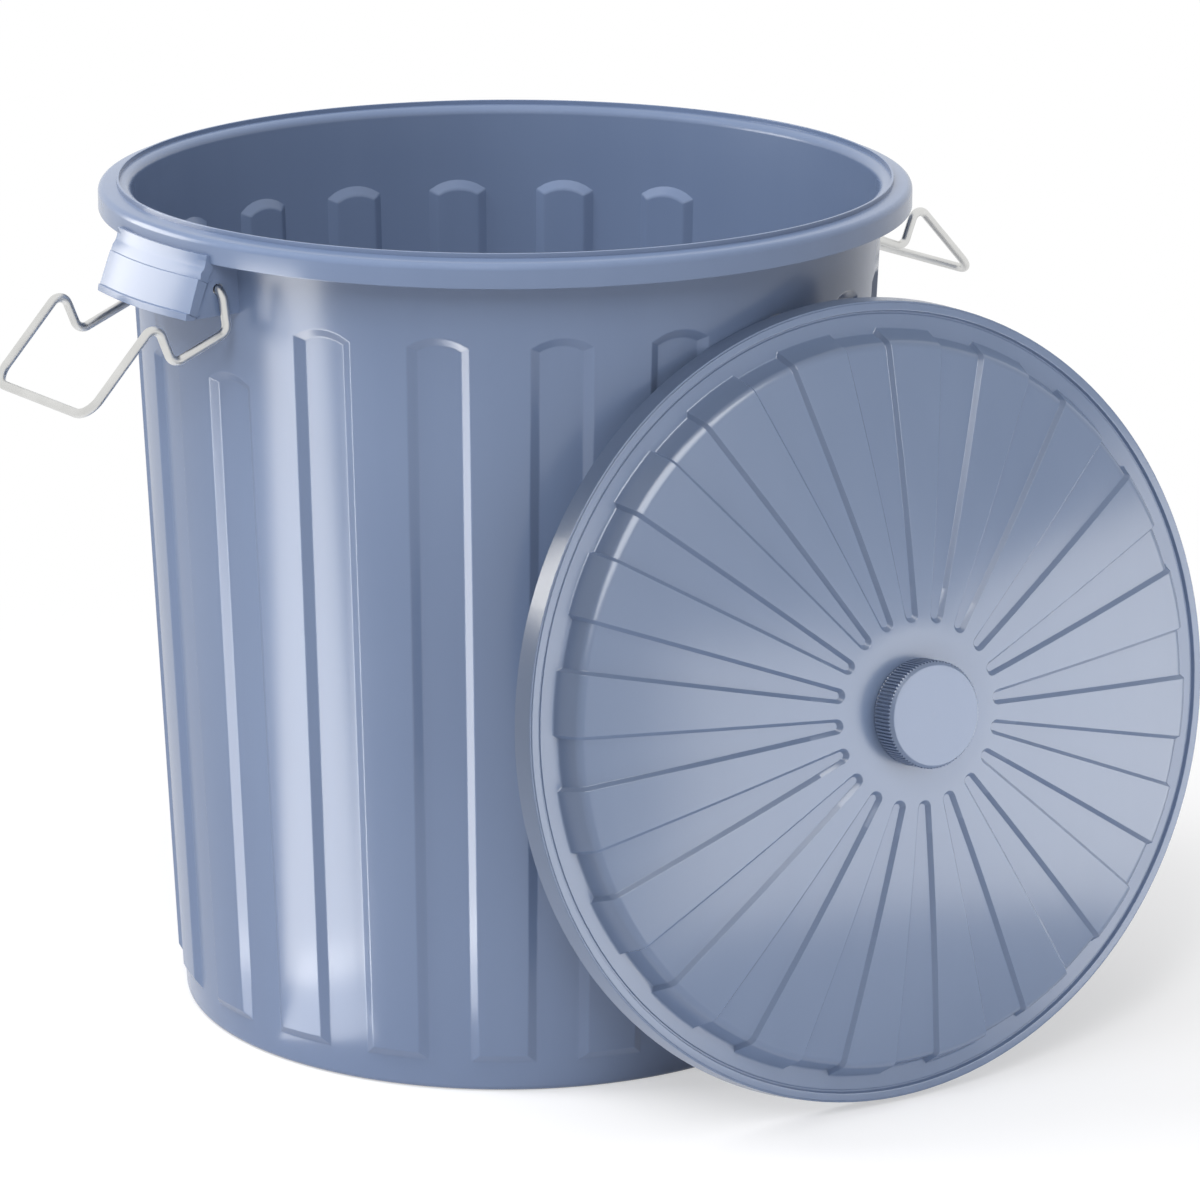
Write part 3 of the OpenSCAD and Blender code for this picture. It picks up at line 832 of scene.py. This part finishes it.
# %% The knob
bore_r = HUB_R + KNOB_CLEAR
roof_z = KNOB_H - KNOB_WALL
rib_top = KNOB_H - KNOB_COLLAR_H
shoulder_at = (KNOB_R - 0.7 * MM, rib_top + 0.3 * MM)
brow_at = (KNOB_R - KNOB_COLLAR, KNOB_H)
knob_profile = [(1 * MM, roof_z), (bore_r, roof_z), (bore_r, 0), (KNOB_R - 0.4 * MM, 0)]
first_rib_row = len(knob_profile)
knob_profile += [(KNOB_R, 0.4 * MM), (KNOB_R, rib_top), shoulder_at]
knob_profile += rounded(shoulder_at, brow_at, (0, KNOB_H), 0.9 * MM, 3)
dimple_z = KNOB_H - 0.15 * MM
knob_profile += [(22 * MM, KNOB_H), (3 * MM, KNOB_H), (2.2 * MM, dimple_z), (0.6 * MM, dimple_z)]
rib_pitch = 2 * math.pi * KNOB_R / KNOB_RIBS
rib_columns = mirrored([0.2 * rib_pitch, 0.33 * rib_pitch, 0.5 * rib_pitch])
knob = strip("knob_shell", rib_columns, [(r, z + knob_foot_z) for r, z in knob_profile], KNOB_R)
pick(
    "verts",
    lambda v: first_rib_row <= v.index // len(rib_columns) <= first_rib_row + 1
    and abs(v.co.x) > 0.3 * rib_pitch,
)
slide(y=KNOB_RIB_DEPTH)
repeat(knob, KNOB_RIBS, rib_pitch)
bend(knob, KNOB_R)
split_z = KNOB_H - 1 * MM
for low, high in ((0, split_z), (split_z, KNOB_H + 0.01 * MM)):
    pick("verts", lambda v: radius_of(v.co) < 1.5 * MM and low <= v.co.z - knob_foot_z <= high)
    bpy.ops.mesh.merge(type="CENTER")
only(knob)
stand_at(knob, lid_place)
print("knob faces:", len(knob.data.polygons))

# %% [markdown]
# Shader maths reads better as plain expressions. A small class wraps a value of a node tree, and
# each operator on it adds one Math node. A second class is the tree itself, where every other
# node comes from one method. A finish is such a tree with a Principled surface, on a material.

# %% Values and finishes


class Value:
    """A value in a node tree that Python's operators work on."""

    def __init__(self, tree, socket):
        self.tree = tree
        self.socket = socket

    def maths(self, operation, first, second):
        """Adds a Math node on two values or numbers."""
        return self.tree.node("ShaderNodeMath", {"operation": operation}, {0: first, 1: second})

    def __add__(self, other):
        return self.maths("ADD", self, other)

    __radd__ = __add__

    def __mul__(self, other):
        return self.maths("MULTIPLY", self, other)

    __rmul__ = __mul__


class Tree:
    """The node tree of a material or a world."""

    def __init__(self, owner):
        owner.use_nodes = True
        self.tree = owner.node_tree

    def node(self, kind, settings=None, inputs=None, output=0):
        """Adds a node, sets it up, feeds its inputs with values or constants, and gives one output."""
        made = self.tree.nodes.new(kind)
        for name, setting in (settings or {}).items():
            if name == "stops":
                for stop, (position, colour) in zip(made.color_ramp.elements, setting):
                    stop.position = position
                    stop.color = (*colour, 1)
            else:
                setattr(made, name, setting)
        for key, given in (inputs or {}).items():
            self.feed(made.inputs[key], given)
        return Value(self, made.outputs[output])

    def feed(self, socket, given):
        """Links a value to a socket, or sets a constant on it."""
        if isinstance(given, Value):
            self.tree.links.new(given.socket, socket)
        else:
            socket.default_value = given

    def ramp(self, value, low, high):
        """Rises from 0 to 1 while the value goes from low to high, and stays within them."""
        return self.node("ShaderNodeMapRange", inputs={"Value": value, "From Min": low, "From Max": high})

    def looked_at(self):
        """1 for a ray of the camera or of a reflection, and 0 for one that only carries light."""
        seen = self.node("ShaderNodeLightPath", output="Is Camera Ray")
        for name in ("Is Glossy Ray", "Is Transmission Ray"):
            seen = seen + self.node("ShaderNodeLightPath", output=name)
        return self.ramp(seen, 0, 1)


class Finish(Tree):
    """A material with a Principled surface."""

    def __init__(self, name):
        self.material = bpy.data.materials.new(name)
        super().__init__(self.material)
        self.surface = self.tree.nodes["Principled BSDF"]
        self.where = self.node("ShaderNodeTexCoord", output="Object")

    def wear(self, **sockets):
        """Feeds the Principled surface: names as on the node, with underscores for spaces."""
        for name, given in sockets.items():
            self.feed(self.surface.inputs[name.replace("_", " ")], given)

    def noise(self, scale, detail=2.0, stretch=(1, 1, 1)):
        """Noise that follows the piece, about one blob to each 1 / scale metres."""
        placed = self.node("ShaderNodeMapping", inputs={"Vector": self.where, "Scale": stretch})
        return self.node("ShaderNodeTexNoise", inputs={"Vector": placed, "Scale": scale, "Detail": detail})

    def blend(self, amount, first, second):
        """Mixes two colours by an amount from 0 to 1."""
        return self.node(
            "ShaderNodeMix",
            {"data_type": "RGBA"},
            {"Factor": amount, 6: first, 7: second},
            output=2,
        )

    def bump(self, height, distance):
        """Turns a height into a surface normal, at a depth in metres."""
        return self.node("ShaderNodeBump", inputs={"Height": height, "Distance": distance, "Strength": 1.0})


# %% [markdown]
# The tub and lid are coloured polypropylene, straight from the mould: glossy, with a very fine
# pebble to the skin, clouds where the pigment is a little uneven, and faint upright flow lines.
# Handling leaves it a little duller here and there.

# %% Plastic


def colour(red, green, blue):
    """A colour as picked on screen, 0 to 255, in the linear values that shaders use."""
    return tuple(((c / 255 + 0.055) / 1.055) ** 2.4 for c in (red, green, blue)) + (1,)


def plastic(name, base, pale, gloss):
    """Moulded polypropylene in two close tones, with the given roughness where it is cleanest."""
    finish = Finish(name)
    clouds = finish.noise(5, detail=3)
    flow = finish.noise(40, detail=3, stretch=(1, 1, 0.06))
    pebble = finish.noise(700, detail=1)
    worn = finish.noise(14, detail=2)
    tone = clouds * 0.7 + flow * 0.3
    finish.wear(
        Base_Color=finish.blend(tone, base, pale),
        Roughness=gloss + clouds * 0.05 + worn * 0.03,
        Normal=finish.bump(pebble * 0.1 + flow * 0.9, 0.04 * MM),
        IOR=1.49,
        Specular_IOR_Level=0.5,
    )
    return finish.material


tub_finish = plastic("tub_polypropylene", colour(96, 112, 142), colour(112, 128, 156), 0.18)
lid_finish = plastic("lid_polypropylene", colour(98, 114, 142), colour(114, 129, 155), 0.2)
knob_finish = plastic("knob_polypropylene", colour(102, 117, 144), colour(116, 130, 156), 0.3)
print("plastic:", tub_finish.name, lid_finish.name, knob_finish.name)

# %% [markdown]
# The handles are galvanised wire: bright zinc with soft crystals, drawn lines along the wire, and
# small dull spots.

# %% Galvanised wire


def galvanised(name):
    """Zinc-coated steel wire."""
    finish = Finish(name)
    cells = {"Vector": finish.where, "Scale": 320.0}
    crystals = finish.node("ShaderNodeTexVoronoi", inputs=cells, output="Distance")
    drawn = finish.noise(900, detail=2)
    dull = finish.noise(60, detail=4)
    finish.wear(
        Base_Color=finish.blend(dull, colour(206, 206, 204), colour(228, 228, 226)),
        Metallic=1.0,
        Roughness=0.29 + dull * 0.08 + crystals * 0.04,
        Normal=finish.bump(drawn * 0.5 + crystals * 0.5, 0.012 * MM),
    )
    return finish.material


wire_finish = galvanised("galvanised_wire")


def dress(piece, material):
    """Gives a piece one finish all over."""
    piece.data.materials.clear()
    piece.data.materials.append(material)


dress(wall, tub_finish)
dress(lid, lid_finish)
dress(knob, knob_finish)
handles = [frame["nodes"]["handle_left"], frame["nodes"]["handle_right"]]
for handle in handles:
    dress(handle, wire_finish)
print("wire:", [handle.name for handle in handles])

# %% [markdown]
# Every new piece is shaded smooth up to the angle of a real edge, rides on the body that it
# belongs to, and stands in for the CAD node of that body.

# %% Ride and replace
for piece, body, slot in (
    (wall, "tub", "tub_plastic"),
    (lid, "lid", "lid_plastic"),
    (knob, "knob", "knob_plastic"),
):
    only(piece)
    bpy.ops.object.shade_smooth_by_angle(angle=math.radians(40))
    finish_with(piece, "WEIGHTED_NORMAL", weight=100, keep_sharp=True)
    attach(piece, body)
    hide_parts(body)
    print(piece.name, "has", len(piece.data.polygons), "faces")

# %% [markdown]
# The studio is a pale floor that runs out of sight and white surroundings. What the camera or a
# reflection sees of the floor turns to plain white a little way off, and near the bin it keeps
# the shadow. It lies a hair below the tub's base, because two faces in one plane would flicker.
# The soft light on the plastic comes from large lamps that no reflection shows.

# %% Floor and surroundings
WHITE = (1, 1, 1, 1)
clear()
bpy.ops.mesh.primitive_plane_add(size=30)
floor = bpy.context.object
floor.name = "studio_floor"
floor.location.z = -0.2 * MM
paper = Finish("floor_paper")
paper.wear(Base_Color=colour(244, 244, 246), Roughness=0.9, Specular_IOR_Level=0.2)
across_floor = paper.node("ShaderNodeVectorMath", {"operation": "LENGTH"}, {0: paper.where}, output="Value")
whitening = 0.5 + 0.5 * paper.ramp(across_floor, 0.3, 0.9)
white = paper.node("ShaderNodeEmission", inputs={"Color": WHITE, "Strength": 1.0})
lit = Value(paper, paper.surface.outputs[0])
blank = paper.node("ShaderNodeMixShader", inputs={0: paper.looked_at() * whitening, 1: lit, 2: white})
paper.feed(paper.tree.nodes["Material Output"].inputs["Surface"], blank)
dress(floor, paper.material)


def set_world(ambient):
    """White where it is seen or mirrored, and of this strength where it lights the object."""
    world = bpy.data.worlds.new("studio_world")
    bpy.context.scene.world = world
    sky = Tree(world)
    background = sky.tree.nodes["Background"]
    sky.feed(background.inputs["Color"], WHITE)
    sky.feed(background.inputs["Strength"], ambient)
    light = Value(sky, background.outputs[0])
    seen = sky.node("ShaderNodeBackground", inputs={"Color": WHITE, "Strength": 1.0})
    mix = sky.node("ShaderNodeMixShader", inputs={0: sky.looked_at(), 1: light, 2: seen})
    sky.feed(sky.tree.nodes["World Output"].inputs["Surface"], mix)
    return world


AMBIENT = 0.33
print("floor:", floor.name, "and surroundings:", set_world(AMBIENT).name)

# %% [markdown]
# A gloss is made by what it mirrors. Each card is placed by the rule of the mirror: from the
# camera to a point on the surface, and on in the direction that its normal throws the ray. The
# tub and the lid each have their own lamps, as if they had been lit one after the other. The
# camera looks down a little, so the foot of the wall mirrors the floor, and one lamp lies there.

# %% Lamps and cards
WARM_WHITE = (1.0, 0.965, 0.9)


def lamp_at(name, lit_pieces, location, target, width, tall, strength):
    """A rectangular lamp that faces the target and lights these pieces. In its strength 1 is white."""
    clear()
    bpy.ops.object.light_add(type="AREA")
    lamp = bpy.context.object
    lamp.name = name
    lamp.data.shape = "RECTANGLE"
    lamp.data.size = width
    lamp.data.size_y = tall
    lamp.data.energy = strength * math.pi * width * tall
    lamp.location = location
    lamp.rotation_euler = (Vector(target) - Vector(location)).to_track_quat("-Z", "Y").to_euler()
    lamp.visible_camera = False
    group = bpy.data.collections.new(name + "_lights")
    for piece in lit_pieces:
        group.objects.link(piece)
    lamp.light_linking.receiver_collection = group
    return lamp


def round_bin(azimuth, distance, height):
    """A point at an angle in degrees round the bin, counted from the camera's side to the right."""
    around = CAMERA_AZIMUTH + math.radians(azimuth)
    return Vector((math.sin(around) * distance, -math.cos(around) * distance, height))


def soft_box(name, lit_pieces, azimuth, distance, height, width, tall, strength):
    """A lamp for soft light only, aimed at the bin's middle and never seen in a reflection."""
    place = round_bin(azimuth, distance, height)
    lamp = lamp_at(name, lit_pieces, place, (0, 0, TUB_HEIGHT / 2), width, tall, strength)
    lamp.visible_glossy = False


def card(name, lit_pieces, point, normal, distance, width, tall, strength):
    """A bright card that the camera sees mirrored in the surface at this point, for gloss only."""
    sight = (point - camera.matrix_world.translation).normalized()
    place = point + sight.reflect(normal.normalized()) * distance
    lamp = lamp_at(name, lit_pieces, place, point, width, tall, strength)
    lamp.data.color = WARM_WHITE
    lamp.visible_diffuse = False


# %% Light on the tub
GLEAM_AT = -32
LUG_AT = -55
tub_side = [wall, *handles, floor]
shells = [wall, lid, knob]
soft_box("left_box", tub_side, azimuth=-85, distance=2.4, height=2.8, width=0.9, tall=2.0, strength=12.5)
soft_box("front_box", tub_side, azimuth=-8, distance=3.1, height=3.0, width=0.8, tall=2.0, strength=15.5)
soft_box("top_box", tub_side, azimuth=-20, distance=1.0, height=3.2, width=2.0, tall=2.0, strength=3.0)
soft_box("back_box", shells, azimuth=145, distance=2.8, height=1.5, width=1.2, tall=2.0, strength=4.5)
flute_point = round_bin(GLEAM_AT, wall_r(0.25), 0.25)
flute_normal = round_bin(GLEAM_AT, 1, -DRAFT)
card("flute_card", [wall], flute_point, flute_normal, distance=0.2, width=0.12, tall=0.52, strength=8)
foot_place = round_bin(GLEAM_AT, wall_r(0), 2 * MM) + round_bin(2 * GLEAM_AT, 0.1, 0)
above_foot = foot_place + Vector((0, 0, 1))
foot_lamp = lamp_at("foot_card", [wall], foot_place, above_foot, width=0.09, tall=0.13, strength=5.5)
foot_lamp.visible_diffuse = False
foot_lamp.rotation_euler = (math.pi, 0, CAMERA_AZIMUTH + math.radians(2 * GLEAM_AT))
lug_point = round_bin(LUG_AT, TOP_R + 25 * MM, TUB_HEIGHT - 35 * MM)
lug_normal = round_bin(LUG_AT, 1, 0.4)
card("lug_card", [wall], lug_point, lug_normal, distance=0.8, width=0.5, tall=0.5, strength=6.5)

# %% Light on the lid
lid_side = [lid, knob]
soft_box("lid_right_box", lid_side, azimuth=45, distance=2.6, height=1.2, width=1.0, tall=2.0, strength=4.2)
soft_box("lid_top_box", lid_side, azimuth=10, distance=1.4, height=3.0, width=2.0, tall=2.0, strength=1.7)
lid_turn = lid_place.to_3x3()
lid_point = lid_place @ Vector((5 * MM, -50 * MM, 0))
lid_normal = lid_turn @ Vector((0.018, -0.06, 1))
card("lid_card", lid_side, lid_point, lid_normal, distance=0.4, width=0.73, tall=0.48, strength=4.9)
skirt_way = Vector((-0.86, 0.5, 0.11))
skirt_point = lid_place @ (skirt_way * SKIRT_R)
skirt_normal = lid_turn @ skirt_way
card("skirt_card", lid_side, skirt_point, skirt_normal, distance=0.5, width=0.4, tall=0.26, strength=10)
edge_point = lid_place @ Vector((-117 * MM, 113 * MM, plateau_z))
edge_normal = lid_turn @ Vector((-0.42, 0.4, 0.82))
card("edge_card", lid_side, edge_point, edge_normal, distance=0.8, width=0.8, tall=0.8, strength=8)
bpy.context.scene.view_settings.view_transform = "Standard"
